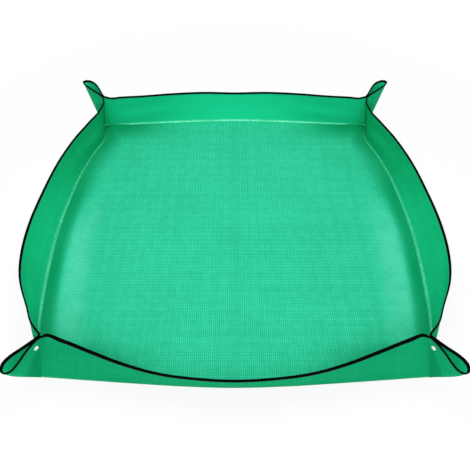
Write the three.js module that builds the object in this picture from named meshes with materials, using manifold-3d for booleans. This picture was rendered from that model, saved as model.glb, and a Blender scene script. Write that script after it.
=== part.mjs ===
// Repotting mat: a square woven sheet with a bound edge. Its four corners are pinched
// into ears and held by press snaps, so that the rim stands up and makes a shallow tray.
// Millimetres, +Z up, underside of the floor at Z = 0, front at -Y.

import * as THREE from 'three';
import { mergeVertices } from 'three/addons/utils/BufferGeometryUtils.js';
import Module from 'manifold-3d';

const wasm = await Module();
wasm.setup();

// Sheet
const CLOTH = 0.6;             // thickness of the coated woven cloth
const FLOOR = 576;             // flat floor from fold hinge to fold hinge
const FOLD_LEDGE = 2;          // least width of cloth lying flat outside a fold hinge
const HINGE_GAP = 0.4;         // gap from a fold or crease line to the panel beside it

// Bow of the folds, measured outwards from the hinge at mid length
const END_FOLD_BOW = 16.5;     // front and back
const END_FOLD_SOFT = 0.3;     // roundness of that bow
const SIDE_FOLD_BOW = 38;      // left and right
const SIDE_FOLD_SOFT = 0.82;
const SIDE_SHIFT = 0.17;       // how far the side bow peaks towards the front, of half a wall

// Top edges: share of half a wall from its middle, out from the hinge, height.
// Each edge runs on to its two pinched corners.
const FRONT_RIM = [[0, 34, 65], [0.4, 24, 67], [0.75, -1, 83.5], [0.95, -15.8, 99]];
const BACK_RIM = [[0, 34, 61.5], [0.5, 16.7, 72], [0.9, -11.4, 83.5]];
const SIDE_RIM = [[-0.8, 18.8, 72], [-0.3, 70, 43.5], [0.2, 60, 53], [0.65, 17, 74.5], [0.9, -14.5, 80.5]];

// Pinched corners and their ears
const RIM_HEIGHT = 90;         // top of a pinched corner
const PINCH_IN = 20.7;         // lean of a pinched corner towards the middle, on X and on Y
const EAR_BULGE = 6.5;         // how far each layer swells towards the tip
const EAR_FOOT = 3;            // start of the ear above the floor corner
const FOOT_SPREAD = 1.7;       // how far the foot of the tip fold opens to each side
const PINCH_CLEAR = 5.1;       // clear space between the two layers at the top of the pinch
const TIP_CLEAR = 6;           // clear space between the two layers at the opened tip fold

// Rim of an ear: share of the way from crease to tip, share of the bulge, lift above the pinched corner.
// Its tip lies this far outside the floor corner, on X and on Y. Front ears droop and back ears stand up.
const FRONT_EAR = [
  [0, 0, 0], [0.1, 0, -0.4], [0.2, 0, -0.9], [0.4, 0.22, -3.2],
  [0.6, 0.72, -5.9], [0.78, 1.1, -8.9], [0.9, 0.85, -10.4], [0.96, 0.5, -11.1],
];
const FRONT_TIP_OUT = 23;
const FRONT_TIP_LIFT = -12;
const BACK_EAR = [
  [0, 0, 0], [0.1, 0, 2.5], [0.2, 0, 4.6], [0.28, 0.12, 6], [0.42, 0.6, 8.3],
  [0.6, 0.87, 9.4], [0.78, 0.71, 8.5], [0.9, 0.4, 6.8], [0.96, 0.2, 5.2],
];
const BACK_TIP_OUT = 26;
const BACK_TIP_LIFT = 4;

// Edge binding
const TAPE = 0.5;              // tape thickness
const TAPE_WIDTH = 6;          // tape on each face of the cloth
const TAPE_CLEAR = 0.3;        // clearance between tape and cloth
const TAPE_END = 1;            // tape end to crease line

// Press snaps
const SNAP_DOWN = 15.5;        // snap centre below the pinched corner
const SNAP_OUT = 8;            // snap centre outside the crease
const SNAP_HOLE = 1.9;         // hole through the cloth, radius
const SNAP_SEAT = 0.2;         // clearance between metal and cloth
const CAP_RADIUS = 4.3;
const CAP_RISE = 1.7;          // domed height of the cap
const SHANK_RADIUS = 1.4;      // rivet shank under the cap
const SOCKET_RADIUS = 4.1;
const SOCKET_BORE = 2.4;       // bore that takes the stud
const SOCKET_FLOOR = 0.8;      // metal behind the bore
const SPRING_WIRE = 0.22;      // wire radius of the split ring
const SPRING_GROOVE = 0.7;     // groove depth and height for the ring
const STUD_FLANGE = 4;
const STUD_HEAD = 1.9;         // fattest radius of the stud
const STUD_NECK = 1.5;
const STUD_PLAY = 0.4;         // stud flange to socket rim, and stud end to shank end
const POST_RADIUS = 3.9;
const POST_SHANK = 0.75;
const FACETS = 14;

const HALF = FLOOR / 2;
const SKIN = CLOTH / 2;
const DIAG = Math.SQRT1_2;

const GREEN = new THREE.MeshStandardMaterial({ color: 0x1fae7c, roughness: 0.5, metalness: 0 });
const BLACK = new THREE.MeshStandardMaterial({ color: 0x0b1410, roughness: 0.75, metalness: 0 });
const NICKEL = new THREE.MeshStandardMaterial({ color: 0xdfe3e0, roughness: 0.25, metalness: 1 });

const mat = new THREE.Group();
mat.name = 'repotting_mat';

// Turns every face outwards.
function outward(geometry) {
  const p = geometry.attributes.position;
  const index = geometry.index.array;
  const a = new THREE.Vector3();
  const b = new THREE.Vector3();
  const c = new THREE.Vector3();
  let volume = 0;
  for (let i = 0; i < index.length; i += 3) {
    a.fromBufferAttribute(p, index[i]);
    b.fromBufferAttribute(p, index[i + 1]);
    c.fromBufferAttribute(p, index[i + 2]);
    volume += a.dot(b.cross(c));
  }
  if (volume < 0) {
    for (let i = 0; i < index.length; i += 3) {
      [index[i], index[i + 1]] = [index[i + 1], index[i]];
    }
  }
  geometry.deleteAttribute('normal');
  geometry.computeVertexNormals();
  return geometry;
}

function fromTriangles(points, triangles) {
  const geometry = new THREE.BufferGeometry();
  geometry.setAttribute('position', new THREE.Float32BufferAttribute(points.flatMap((v) => v.toArray()), 3));
  geometry.setIndex(triangles);
  return geometry;
}

function welded(geometry) {
  const bare = geometry.clone();
  bare.deleteAttribute('normal');
  bare.deleteAttribute('uv');
  return mergeVertices(bare, 1e-4);
}

function add(name, geometry, material) {
  const mesh = new THREE.Mesh(outward(welded(geometry)), material);
  mesh.name = name;
  mat.add(mesh);
}

// A sheet of even thickness round a grid of mid-surface points, closed along its edges.
function sheet(grid) {
  const rows = grid.length;
  const cols = grid[0].length;
  const facing = (i, j) => {
    const d1 = grid[i + 1][j + 1].clone().sub(grid[i][j]);
    const d2 = grid[i + 1][j].clone().sub(grid[i][j + 1]);
    return d1.cross(d2).normalize();
  };
  const upper = [];
  const lower = [];
  for (let i = 0; i < rows; i++) {
    for (let j = 0; j < cols; j++) {
      const around = [];
      for (const [k, l] of [[i - 1, j - 1], [i - 1, j], [i, j - 1], [i, j]]) {
        if (k >= 0 && l >= 0 && k < rows - 1 && l < cols - 1) around.push(facing(k, l));
      }
      const n = around.reduce((sum, v) => sum.add(v), new THREE.Vector3()).normalize();
      const mitre = around.reduce((sum, v) => sum + v.dot(n), 0) / around.length;
      n.multiplyScalar(SKIN / mitre);
      upper.push(grid[i][j].clone().add(n));
      lower.push(grid[i][j].clone().sub(n));
    }
  }
  const shift = rows * cols;
  const at = (i, j) => i * cols + j;
  const triangles = [];
  const quad = (a, b, c, d) => triangles.push(a, b, c, a, c, d);
  for (let i = 0; i < rows - 1; i++) {
    for (let j = 0; j < cols - 1; j++) {
      quad(at(i, j), at(i, j + 1), at(i + 1, j + 1), at(i + 1, j));
      quad(shift + at(i, j), shift + at(i + 1, j), shift + at(i + 1, j + 1), shift + at(i, j + 1));
    }
  }
  const rim = [];
  for (let j = 0; j < cols; j++) rim.push(at(0, j));
  for (let i = 1; i < rows; i++) rim.push(at(i, cols - 1));
  for (let j = cols - 2; j >= 0; j--) rim.push(at(rows - 1, j));
  for (let i = rows - 2; i > 0; i--) rim.push(at(i, 0));
  rim.forEach((v, k) => {
    const w = rim[(k + 1) % rim.length];
    quad(w, v, v + shift, w + shift);
  });
  return fromTriangles([...upper, ...lower], triangles);
}

// Folded tape over the edge through the points, with the cloth below each edge point known.
function binding(edge, below) {
  const reach = SKIN + TAPE_CLEAR;
  const profile = [
    [-reach - TAPE, TAPE_WIDTH], [-reach - TAPE, -TAPE_CLEAR - TAPE],
    [reach + TAPE, -TAPE_CLEAR - TAPE], [reach + TAPE, TAPE_WIDTH],
    [reach, TAPE_WIDTH], [reach, -TAPE_CLEAR], [-reach, -TAPE_CLEAR], [-reach, TAPE_WIDTH],
  ];
  const count = profile.length;
  const points = [];
  const triangles = [];
  edge.forEach((p, k) => {
    const before = edge[Math.max(k - 1, 0)];
    const after = edge[Math.min(k + 1, edge.length - 1)];
    const along = after.clone().sub(before).normalize();
    const down = below[k].clone().sub(p);
    const straight = down.clone().addScaledVector(along, -down.dot(along));
    down.divideScalar(straight.length());
    const across = along.clone().cross(straight.normalize());
    for (const [n, d] of profile) points.push(p.clone().addScaledVector(across, n).addScaledVector(down, d));
  });
  for (let k = 0; k < edge.length - 1; k++) {
    for (let i = 0; i < count; i++) {
      const a = k * count + i;
      const b = k * count + (i + 1) % count;
      triangles.push(a, b, b + count, a, b + count, a + count);
    }
  }
  const cap = THREE.ShapeUtils.triangulateShape(profile.map(([n, d]) => new THREE.Vector2(n, d)), []);
  const last = (edge.length - 1) * count;
  const start = cap.map(([a, b, c]) => [a, b, c]);
  const turn = (p, q) => start.some(([a, b, c]) => [[a, b], [b, c], [c, a]].some(([s, e]) => s === p && e === q));
  const same = turn(0, 1);
  for (const [a, b, c] of cap) {
    if (same) {
      triangles.push(a, c, b, last + a, last + b, last + c);
    } else {
      triangles.push(a, b, c, last + a, last + c, last + b);
    }
  }
  return fromTriangles(points, triangles);
}

// Ear, in the frame of one corner: out along the diagonal, side away from the diagonal plane, up.
const ROOT_OUT = -PINCH_IN / DIAG;
const ROOT_SIDE = (PINCH_CLEAR + CLOTH) / 2;
const FOOT = FOLD_LEDGE * DIAG;
const FOOT_SCALE = 0.05;

function earShape(line, tipOut, tipLift) {
  const tip = tipOut / DIAG;
  const points = line.map(([f, s, lift]) => new THREE.Vector3(
    THREE.MathUtils.lerp(ROOT_OUT, tip, f), ROOT_SIDE + s * EAR_BULGE, RIM_HEIGHT + lift,
  ));
  points.push(new THREE.Vector3(tip, TIP_CLEAR / 2, RIM_HEIGHT + tipLift));
  return { tip, rim: new THREE.CatmullRomCurve3(points, false, 'centripetal') };
}

const EARS = {
  front: earShape(FRONT_EAR, FRONT_TIP_OUT, FRONT_TIP_LIFT),
  back: earShape(BACK_EAR, BACK_TIP_OUT, BACK_TIP_LIFT),
};

function earPoint(ear, share, rise) {
  const top = ear.rim.getPoint(share);
  const f = (top.x - ROOT_OUT) / (ear.tip - ROOT_OUT);
  const foot = new THREE.Vector3(
    FOOT + FOOT_SCALE * (top.x - ROOT_OUT),
    FOOT + FOOT_SCALE * (top.y - ROOT_SIDE) + FOOT_SPREAD * f ** 3,
    SKIN + EAR_FOOT * (0.4 + 0.6 * f),
  );
  return foot.lerp(top, rise);
}

const EAR_SHARES = [0, 0.13, 0.27, 0.4, 0.52, 0.63, 0.73, 0.82, 0.9, 0.95, 1];
const EAR_RISES = [0, 0.2, 0.45, 0.68, 0.88, 1];
const earShift = (gap) => new THREE.Vector3(gap, 0, 0);

function earEdge(ear, gap, rise) {
  return EAR_SHARES.map((s) => {
    const p = earPoint(ear, s, rise);
    return s === 0 ? p.add(earShift(gap)) : p;
  });
}

const snapFoot = earPoint(EARS.front, 0, 0);
const snapTop = earPoint(EARS.front, 0, 1);
const snapRise = (RIM_HEIGHT - SNAP_DOWN - snapFoot.z) / (snapTop.z - snapFoot.z);
const SNAP = snapFoot.clone().lerp(snapTop, snapRise).add(earShift(SNAP_OUT));

function asSolid(geometry) {
  const g = outward(welded(geometry));
  return new wasm.Manifold(new wasm.Mesh({
    numProp: 3,
    vertProperties: Float32Array.from(g.attributes.position.array),
    triVerts: Uint32Array.from(g.index.array),
  }));
}

function earPanel(ear) {
  const panel = asSolid(sheet(EAR_RISES.map((v) => earEdge(ear, HINGE_GAP, v))));
  const drill = new THREE.CylinderGeometry(SNAP_HOLE, SNAP_HOLE, 8 * CLOTH, FACETS);
  drill.translate(SNAP.x, SNAP.y, SNAP.z);
  const cut = panel.subtract(asSolid(drill)).getMesh();
  const geometry = new THREE.BufferGeometry();
  geometry.setAttribute('position', new THREE.Float32BufferAttribute(Array.from(cut.vertProperties), 3));
  geometry.setIndex(Array.from(cut.triVerts));
  return geometry;
}

function earTape(ear) {
  return binding(earEdge(ear, TAPE_END, 1), earEdge(ear, TAPE_END, EAR_RISES[4]));
}

// Snap pieces, turned about the side direction, heights from the middle of the cloth.
const SEAT = SKIN + SNAP_SEAT;
const BETWEEN = 2 * SNAP.y;

function turned(profile) {
  const g = new THREE.LatheGeometry(profile.map(([r, y]) => new THREE.Vector2(r, y)), FACETS);
  g.translate(SNAP.x, SNAP.y, SNAP.z);
  return g;
}

const STUD_BASE = -SEAT - STUD_NECK / 2;
const SOCKET_RIM = -BETWEEN - STUD_BASE + STUD_PLAY;
const BORE_TOP = -SEAT - SOCKET_FLOOR;
const SHANK_END = BORE_TOP - SNAP_SEAT;
const STUD_END = -BETWEEN - SHANK_END + STUD_PLAY;
const RING_AT = (SOCKET_RIM + BORE_TOP) / 2 - SPRING_GROOVE / 4;

const snapCap = turned([
  [0, SHANK_END], [SHANK_RADIUS, SHANK_END], [SHANK_RADIUS, SEAT], [CAP_RADIUS * 0.93, SEAT],
  [CAP_RADIUS, SEAT + CAP_RISE * 0.2], [CAP_RADIUS * 0.9, SEAT + CAP_RISE * 0.5],
  [CAP_RADIUS * 0.6, SEAT + CAP_RISE * 0.85], [0, SEAT + CAP_RISE],
]);
const grooveHalf = SPRING_GROOVE / 2;
const snapSocket = turned([
  [SNAP_HOLE, -SEAT], [SOCKET_RADIUS * 0.95, -SEAT], [SOCKET_RADIUS, -SEAT - 0.25],
  [SOCKET_RADIUS, SOCKET_RIM + 0.35], [SOCKET_RADIUS * 0.9, SOCKET_RIM], [SOCKET_BORE, SOCKET_RIM],
  [SOCKET_BORE, RING_AT - grooveHalf], [SOCKET_BORE + SPRING_GROOVE, RING_AT - grooveHalf],
  [SOCKET_BORE + SPRING_GROOVE, RING_AT + grooveHalf], [SOCKET_BORE, RING_AT + grooveHalf],
  [SOCKET_BORE, BORE_TOP], [SNAP_HOLE, BORE_TOP], [SNAP_HOLE, -SEAT],
]);
const snapStud = turned([
  [0, STUD_END + 0.5], [POST_SHANK + 0.25, STUD_END + 0.5], [POST_SHANK + 0.25, -SEAT],
  [STUD_FLANGE * 0.95, -SEAT], [STUD_FLANGE, -SEAT - 0.2], [STUD_FLANGE * 0.95, STUD_BASE],
  [STUD_NECK, STUD_BASE], [STUD_NECK, STUD_END + 0.9], [STUD_HEAD, STUD_END + 0.6],
  [STUD_HEAD, STUD_END + 0.3], [STUD_NECK, STUD_END], [0, STUD_END],
]);
const snapPost = turned([
  [0, STUD_END + 0.8], [POST_SHANK, STUD_END + 0.8], [POST_SHANK, SEAT], [POST_RADIUS * 0.93, SEAT],
  [POST_RADIUS, SEAT + 0.2], [POST_RADIUS * 0.9, SEAT + 0.55], [0, SEAT + 0.7],
]);

function splitRing() {
  const radius = SOCKET_BORE + SPRING_WIRE + 0.05;
  const turns = [];
  for (let k = 0; k <= 12; k++) {
    const angle = THREE.MathUtils.degToRad(25 + k * 310 / 12);
    turns.push(new THREE.Vector3(
      SNAP.x + radius * Math.cos(angle), SNAP.y + RING_AT, SNAP.z + radius * Math.sin(angle),
    ));
  }
  const wire = new THREE.Shape();
  for (let k = 0; k < 6; k++) {
    const x = SPRING_WIRE * Math.cos(k * Math.PI / 3);
    const y = SPRING_WIRE * Math.sin(k * Math.PI / 3);
    if (k === 0) {
      wire.moveTo(x, y);
    } else {
      wire.lineTo(x, y);
    }
  }
  wire.closePath();
  const extrudePath = new THREE.CatmullRomCurve3(turns);
  return new THREE.ExtrudeGeometry(wire, { steps: 14, curveSegments: 1, bevelEnabled: false, extrudePath });
}
const snapSpring = splitRing();

// Walls, in their own frame: along the fold, out from the hinge, up.
const PINCH_ALONG = HALF - PINCH_IN - ROOT_SIDE * DIAG;
const PINCH_DEPTH = -PINCH_IN + ROOT_SIDE * DIAG;

function soften(u, soft) {
  return (Math.hypot(u, soft) - soft) / (Math.hypot(1, soft) - soft);
}

// Top edge from one pinched corner to the other, as [out, height] against the share u.
function topEdge(points) {
  const corner = (u) => [u, PINCH_DEPTH, RIM_HEIGHT];
  const line = [corner(-1), ...points, corner(1)];
  return new THREE.CubicInterpolant(line.map(([u]) => u), line.flatMap(([, out, up]) => [out, up]), 2);
}

function mirrored(points) {
  return [...points.slice(1).reverse().map(([u, out, up]) => [-u, out, up]), ...points];
}

function wallPoint(wall, u, row) {
  if (row < 0) return new THREE.Vector3(u * HALF, HINGE_GAP, SKIN);
  const bent = u + wall.shift * (1 - u * u);
  const fold = new THREE.Vector3(u * HALF, FOLD_LEDGE + wall.foldBow * (1 - soften(bent, wall.foldSoft)), SKIN);
  const [out, up] = wall.top.evaluate(u);
  return fold.lerp(new THREE.Vector3(u * PINCH_ALONG, out, up), row);
}

const WALL_ROWS = [-1, 0, 0.16, 0.4, 0.65, 0.87, 1];
const WALL_STEPS = 15;         // stations from mid length to each end

function wallLine(wall, row, gap) {
  const line = [];
  const end = 1 - gap / HALF;
  for (let k = -WALL_STEPS; k <= WALL_STEPS; k++) {
    line.push(wallPoint(wall, THREE.MathUtils.clamp(k / WALL_STEPS, -end, end), row));
  }
  return line;
}

const END_FOLD = { foldBow: END_FOLD_BOW, foldSoft: END_FOLD_SOFT, shift: 0 };
const FRONT = { ...END_FOLD, top: topEdge(mirrored(FRONT_RIM)) };
const BACK = { ...END_FOLD, top: topEdge(mirrored(BACK_RIM)) };
const SIDE = { foldBow: SIDE_FOLD_BOW, foldSoft: SIDE_FOLD_SOFT, shift: SIDE_SHIFT, top: topEdge(SIDE_RIM) };

function basis(x, y, origin) {
  const m = new THREE.Matrix4().makeBasis(x, y, new THREE.Vector3(0, 0, 1));
  return m.setPosition(origin);
}

function placed(geometry, matrix) {
  return geometry.clone().applyMatrix4(matrix);
}

const base = new THREE.Shape();
const square = HALF - HINGE_GAP;
base.moveTo(-square, -square + FOLD_LEDGE);
base.lineTo(-square + FOLD_LEDGE, -square);
base.lineTo(square - FOLD_LEDGE, -square);
base.lineTo(square, -square + FOLD_LEDGE);
base.lineTo(square, square - FOLD_LEDGE);
base.lineTo(square - FOLD_LEDGE, square);
base.lineTo(-square + FOLD_LEDGE, square);
base.lineTo(-square, square - FOLD_LEDGE);
base.closePath();
add('floor_panel', new THREE.ExtrudeGeometry(base, { depth: CLOTH, bevelEnabled: false }), GREEN);

for (const [name, wall, x, y] of [
  ['front', FRONT, [1, 0, 0], [0, -1, 0]],
  ['right', SIDE, [0, 1, 0], [1, 0, 0]],
  ['back', BACK, [1, 0, 0], [0, 1, 0]],
  ['left', SIDE, [0, 1, 0], [-1, 0, 0]],
]) {
  const out = new THREE.Vector3(...y);
  const matrix = basis(new THREE.Vector3(...x), out, out.clone().multiplyScalar(HALF));
  add(`${name}_wall`, placed(sheet(WALL_ROWS.map((row) => wallLine(wall, row, HINGE_GAP))), matrix), GREEN);
  const tape = binding(wallLine(wall, 1, TAPE_END), wallLine(wall, WALL_ROWS[5], TAPE_END));
  add(`${name}_wall_binding`, placed(tape, matrix), BLACK);
}

for (const [end, sy] of [['front', -1], ['back', 1]]) {
  const panel = earPanel(EARS[end]);
  const tape = earTape(EARS[end]);
  for (const [side, sx] of [['left', -1], ['right', 1]]) {
    const out = new THREE.Vector3(sx * DIAG, sy * DIAG, 0);
    const corner = new THREE.Vector3(sx * HALF, sy * HALF, 0);
    const endHalf = basis(out, new THREE.Vector3(-sx * DIAG, sy * DIAG, 0), corner);
    const sideHalf = basis(out, new THREE.Vector3(sx * DIAG, -sy * DIAG, 0), corner);
    const name = `${end}_${side}`;
    add(`${name}_ear_${end}_half`, placed(panel, endHalf), GREEN);
    add(`${name}_ear_${side}_half`, placed(panel, sideHalf), GREEN);
    add(`${name}_ear_${end}_binding`, placed(tape, endHalf), BLACK);
    add(`${name}_ear_${side}_binding`, placed(tape, sideHalf), BLACK);
    add(`${name}_snap_cap`, placed(snapCap, endHalf), NICKEL);
    add(`${name}_snap_socket`, placed(snapSocket, endHalf), NICKEL);
    add(`${name}_snap_spring`, placed(snapSpring, endHalf), NICKEL);
    add(`${name}_snap_stud`, placed(snapStud, sideHalf), NICKEL);
    add(`${name}_snap_post`, placed(snapPost, sideHalf), NICKEL);
  }
}

export default mat;
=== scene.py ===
"""Repotting mat: one woven sheet with a bound edge, its four corners pinched and held by press snaps.

Metres, +Z up, underside of the floor at Z = 0, front at -Y.
"""

import math

import bpy
import numpy as np
from mathutils import Euler, Matrix, Vector

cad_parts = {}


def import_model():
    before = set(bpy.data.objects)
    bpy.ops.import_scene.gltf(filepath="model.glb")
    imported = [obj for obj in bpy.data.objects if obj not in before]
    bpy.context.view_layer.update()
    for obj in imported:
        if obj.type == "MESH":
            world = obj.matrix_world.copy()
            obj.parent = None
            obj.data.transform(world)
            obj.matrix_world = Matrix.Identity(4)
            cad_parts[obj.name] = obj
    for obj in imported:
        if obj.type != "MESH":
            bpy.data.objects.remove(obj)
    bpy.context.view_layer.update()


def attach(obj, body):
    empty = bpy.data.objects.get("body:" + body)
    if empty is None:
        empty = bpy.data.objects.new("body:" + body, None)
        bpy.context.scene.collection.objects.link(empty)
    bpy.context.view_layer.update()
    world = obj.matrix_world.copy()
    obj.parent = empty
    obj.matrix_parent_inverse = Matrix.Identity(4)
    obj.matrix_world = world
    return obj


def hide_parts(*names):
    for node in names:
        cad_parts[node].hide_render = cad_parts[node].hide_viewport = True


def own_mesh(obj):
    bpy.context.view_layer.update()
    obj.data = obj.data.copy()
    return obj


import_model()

# Sheet
CLOTH = 0.0006                 # thickness of the coated woven cloth
HALF = 0.288                   # middle of the floor to a fold hinge
LEDGE = 0.002                  # cloth lying flat outside the fold hinges, at the corners
SKIN = CLOTH / 2
DIAG = math.sqrt(0.5)
SIGN = {"left": -1, "right": 1, "front": -1, "back": 1}

# Folds: share of half a wall from its middle, out from the hinge. A list from the middle is mirrored.
END_FOLD = [(0, 0.0185), (0.25, 0.0165), (0.5, 0.0122), (0.75, 0.0072), (1, LEDGE)]
SIDE_FOLD = [
    (-1, LEDGE), (-0.76, 0.0222), (-0.5, 0.0317), (-0.3, 0.0356), (0, 0.0368), (0.18, 0.0333),
    (0.47, 0.0232), (0.66, 0.0104), (0.86, -0.0066), (1, LEDGE),
]

# Top edges: share of half a wall from its middle, out from the hinge, height
FRONT_RIM = [
    (0, 0.0340, 0.0650), (0.2, 0.0312, 0.0652), (0.4, 0.0243, 0.0670), (0.6, 0.0116, 0.0750),
    (0.75, -0.0010, 0.0835), (0.88, -0.0116, 0.0930), (0.965, -0.0166, 0.0998),
]
BACK_RIM = [
    (0, 0.0340, 0.0615), (0.25, 0.0290, 0.0665), (0.5, 0.0167, 0.0720), (0.75, 0.0006, 0.0775),
    (0.9, -0.0114, 0.0835), (0.96, -0.0172, 0.0858),
]
SIDE_RIM = [
    (-0.92, 0.0005, 0.0828), (-0.8, 0.0188, 0.0720), (-0.6, 0.0472, 0.0595), (-0.35, 0.0681, 0.0445),
    (-0.1, 0.0720, 0.0428), (0.15, 0.0624, 0.0505), (0.4, 0.0436, 0.0645), (0.6, 0.0228, 0.0732),
    (0.78, 0.0020, 0.0758), (0.9, -0.0146, 0.0803), (0.96, -0.0206, 0.0868),
]

# Slack of a wall between its fold and its top edge
BELLY = 0.0016
BELLY_WAVE = 0.0007            # uneven part of the belly
BUCKLE = 0.0009                # soft buckles towards the ends of a wall
BELLY_DROP = 0.4               # sinking of the cloth, as a share of its belly

# Pinched corners and their ears, measured along the diagonal from the floor corner
RIM_HEIGHT = 0.090             # top of a pinched corner
PINCH_IN = 0.0207              # lean of a pinched corner towards the middle, on X and on Y
ROOT_SIDE = 0.00285            # crease at the rim to the diagonal plane
ROOT_OUT = -PINCH_IN / DIAG    # crease at the rim
TIP_OUT = {"front": 0.026 / DIAG, "back": 0.0284 / DIAG}
FOOT = LEDGE * DIAG            # foot of a crease
FOOT_SCALE = 0.035             # length of an ear's foot, as a share of its rim
PINCH_ALONG = HALF - PINCH_IN - ROOT_SIDE * DIAG
PINCH_DEPTH = -PINCH_IN + ROOT_SIDE * DIAG

# Rim of one ear layer: share of the way from crease to tip, side from the diagonal plane, lift above
# the pinched corner. The front ears droop and the back ears stand up.
EAR_RIM = {
    "front": [
        (0, 0.00125, 0), (0.12, 0.0014, -0.0006), (0.4, 0.0043, -0.0044), (0.7, 0.0091, -0.0102),
        (0.83, 0.0097, -0.0129), (0.94, 0.0067, -0.0146), (0.985, 0.0032, -0.0154), (1, 0.00005, -0.0158),
    ],
    "back": [
        (0, 0.00125, 0), (0.1, 0.0018, 0.0026), (0.3, 0.0054, 0.0066), (0.55, 0.0084, 0.0093),
        (0.78, 0.0073, 0.0085), (0.94, 0.0042, 0.0060), (0.985, 0.0022, 0.0048), (1, 0.00005, 0.0042),
    ],
}
EAR_FULLNESS = {"front": 0.85, "back": 0.9}    # how soon an ear swells from its foot, less is sooner
EAR_BOW = {"front": 0.0032, "back": 0.0}       # bow of the outer fold of an ear
LIP = 0.0024                   # crease to where the two layers close up
SNAP_DOWN = 0.0155             # snap centre below the pinched corner
SNAP_OUT = 0.008               # snap centre outside the crease
SNAP_FLAT = 0.0047             # radius of cloth held flat by a snap
SNAP_FADE = 0.0080             # radius where the cloth is free again

# Floor swell inside a fold
SWELL_PEAK = 0.022             # fold to the top of the swell
SWELL_WIDTH = 0.075            # fold to the end of the swell
SWELL_SIDE = 0.0042            # height along the left and right folds
SWELL_END = 0.0034             # height at the corners along the front and back folds
RIPPLE = 0.0004                # slight unevenness of the floor

# Painted light and shade on the cloth, from -1 for painted shade in a hollow to 1 for painted light
SHEEN_TONE = 0.7                 # painted sheen on the band inside the side folds
CORNER_TONE = 0.95             # painted shade in hollows along the front and back folds, towards the corners
GLOW_TONE = 0.9                # painted light in a line along the back fold, which also strengthens its whitened crease
FRONT_FOOT_TONE = -0.25        # painted shade at the foot of the front wall, near its ends
BACK_TONE = 0.6                # painted light on the back wall
BACK_END_TONE = 1.0            # the same at its ends
SIDE_TONE = 0.4                # painted light on the side walls, near the front
SIDE_FOOT_TONE = -0.35         # painted shade at the foot of the side walls, near the back
EAR_TONE = 0.75                # painted light on the inside of an ear
WEDGE_TONE = 0.5               # painted shade in a wedge on the outside of an ear
WEDGE_TOP = 0.006              # reach of the wedge from the crease, at the snap
WEDGE_SPREAD = 0.062           # its growth from the snap to the foot
OFF_FOLD = 0.05                # stands for any place far from a fold

# Edge binding
TAPE = 0.0007                  # thickness of one leg of the folded tape
FRONT_TAPE = 0.0010            # the same at the middle of the front wall
TAPE_WIDTH = 0.0066            # on the front wall
EAR_TAPE = 0.0048              # on the side layers of the front ears
LOW_TAPE = 0.0034              # on the other walls and the back ears
NARROW_TAPE = 0.0021           # where the tape sits high on the front of the front ears
PINCH_TAPE = 0.0028            # where that tape passes a crease
TAPE_TAPER = 0.030             # length over which the tape changes its width
THICK_TAPER = 0.12             # length over which it changes its thickness
TAPE_BEND = 0.0004             # edge of the cloth to the bend of the tape
TAPE_HEM = 0.0002              # turned-in hem of a leg
TAPE_PUCKER = 0.14             # swelling between stitches, as a share of a leg
TAPE_ROWS = 3                  # rows of cloth from the edge that show which way the tape hangs

# Stitches
STITCH_PITCH = 0.0048
STITCH_LENGTH = 0.0032
STITCH_RADIUS = 0.00028
STITCH_DOWN = 0.75             # share of the tape's width from the edge
STITCH_OUT = 1.02              # middle of the thread, in legs of the tape
STITCH_MARGIN = 0.002          # tape without stitches at its two ends together
STITCH_RINGS = [(-0.5, 0.15), (-0.36, 0.85), (0.0, 1.0), (0.36, 0.85), (0.5, 0.15)]    # length, radius
STITCH_SIDES = 6
TAPE_STEP = STITCH_PITCH / 4

# Press snaps
SNAP_SEAT = 0.0002             # clearance between metal and cloth
SNAP_HOLE = 0.0019             # radius of the hole through the cloth
CAP_RADIUS = 0.0043
CAP_RISE = 0.0017              # domed height of the cap
CAP_ROUND = 0.0004             # rounding of its edge
CROWN_FOOT = 0.0006            # where the dome starts above the cloth
CROWN_SHARE = 0.84             # radius of the dome, as a share of the cap's
SHANK_RADIUS = 0.0014          # rivet shank under the cap
SOCKET_RADIUS = 0.0041
SOCKET_BORE = 0.0024           # bore that takes the stud
SOCKET_FLOOR = 0.0008          # metal behind the bore
SOCKET_ROUND = 0.0004
SOCKET_BEVEL = 0.00025         # height of its bevel against the cloth
SPRING_WIRE = 0.00022          # wire radius of the split ring
SPRING_RADIUS = SOCKET_BORE + SPRING_WIRE + 0.00005
SPRING_GROOVE = 0.0007         # depth and height of the groove that holds the ring
SPRING_START = 25.0            # degrees from the middle of its gap to one end
SPRING_STEPS = 48
SPRING_SIDES = 8
STUD_FLANGE = 0.0040
STUD_ROUND = 0.0003
STUD_HEAD = 0.0019             # fattest radius of the stud
HEAD_ROUND = 0.00045
HEAD_LENGTH = 0.0010           # end of the stud to its neck
STUD_NECK = 0.0015
STUD_WALL = 0.0005             # metal at the end of the hollow stud
STUD_PLAY = 0.0004             # stud flange to socket rim, and stud end to shank end
POST_RADIUS = 0.0039
POST_ROUND = 0.0003
POST_SHANK = 0.00075
POST_PLAY = 0.00025            # shank of the post to the bore of the stud
POST_SHORT = 0.0008            # end of that shank to the end of the stud
POST_DISH = [(0.0024, 0.00066), (0.0018, 0.0005), (0.0008, 0.00045), (0, 0.00045)]    # radius, height
CHAMFER = 0.0002
TURN_STEPS = 40
SHARP_TURN = math.radians(38)
ON_AXIS = 1e-9

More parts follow.
